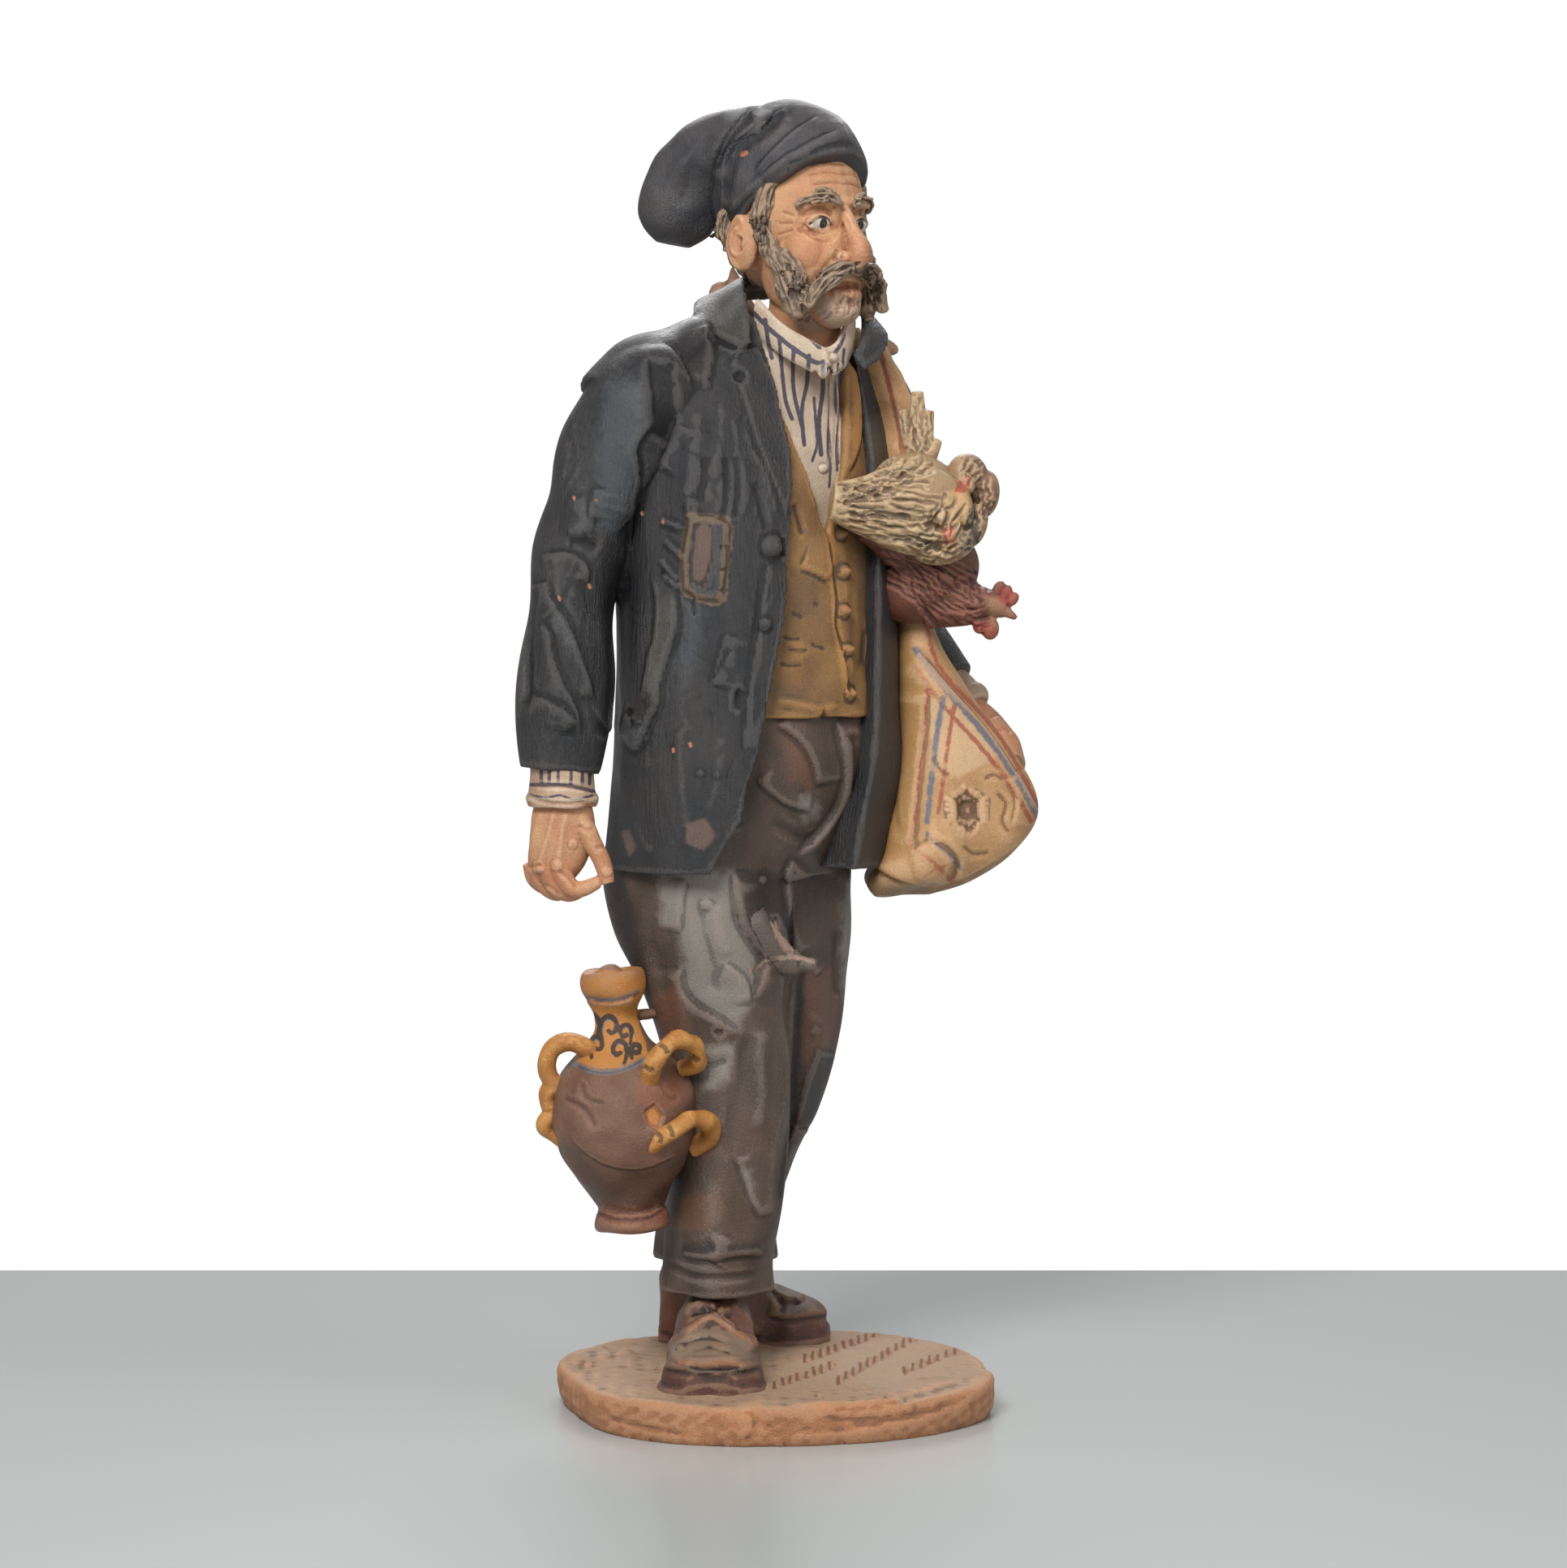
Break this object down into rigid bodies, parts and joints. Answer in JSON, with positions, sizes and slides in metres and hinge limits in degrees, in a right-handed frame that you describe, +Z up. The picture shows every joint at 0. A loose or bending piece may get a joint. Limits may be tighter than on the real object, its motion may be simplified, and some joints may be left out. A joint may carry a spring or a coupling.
{
  "type": "majolica figurine",
  "caption": "Painted terracotta figurine of an old countryman with stocking cap, worn jacket, shoulder bag, hens and jug, standing on a hand-cut clay slab.",
  "frame": {"origin": "on the underside of the slab, under its middle", "axes": "+Z up, -Y the way the figure faces, +X to the figure's left"},
  "size_m": [0.1921, 0.1582, 0.4496],
  "materials": {
    "painted_terracotta": "hand-modelled terracotta, cold-painted in charcoal, ochre, brown and cream, satin in places"
  },
  "bodies": {
    "root": {"figurine": "painted_terracotta"}
  },
  "joints": []
}
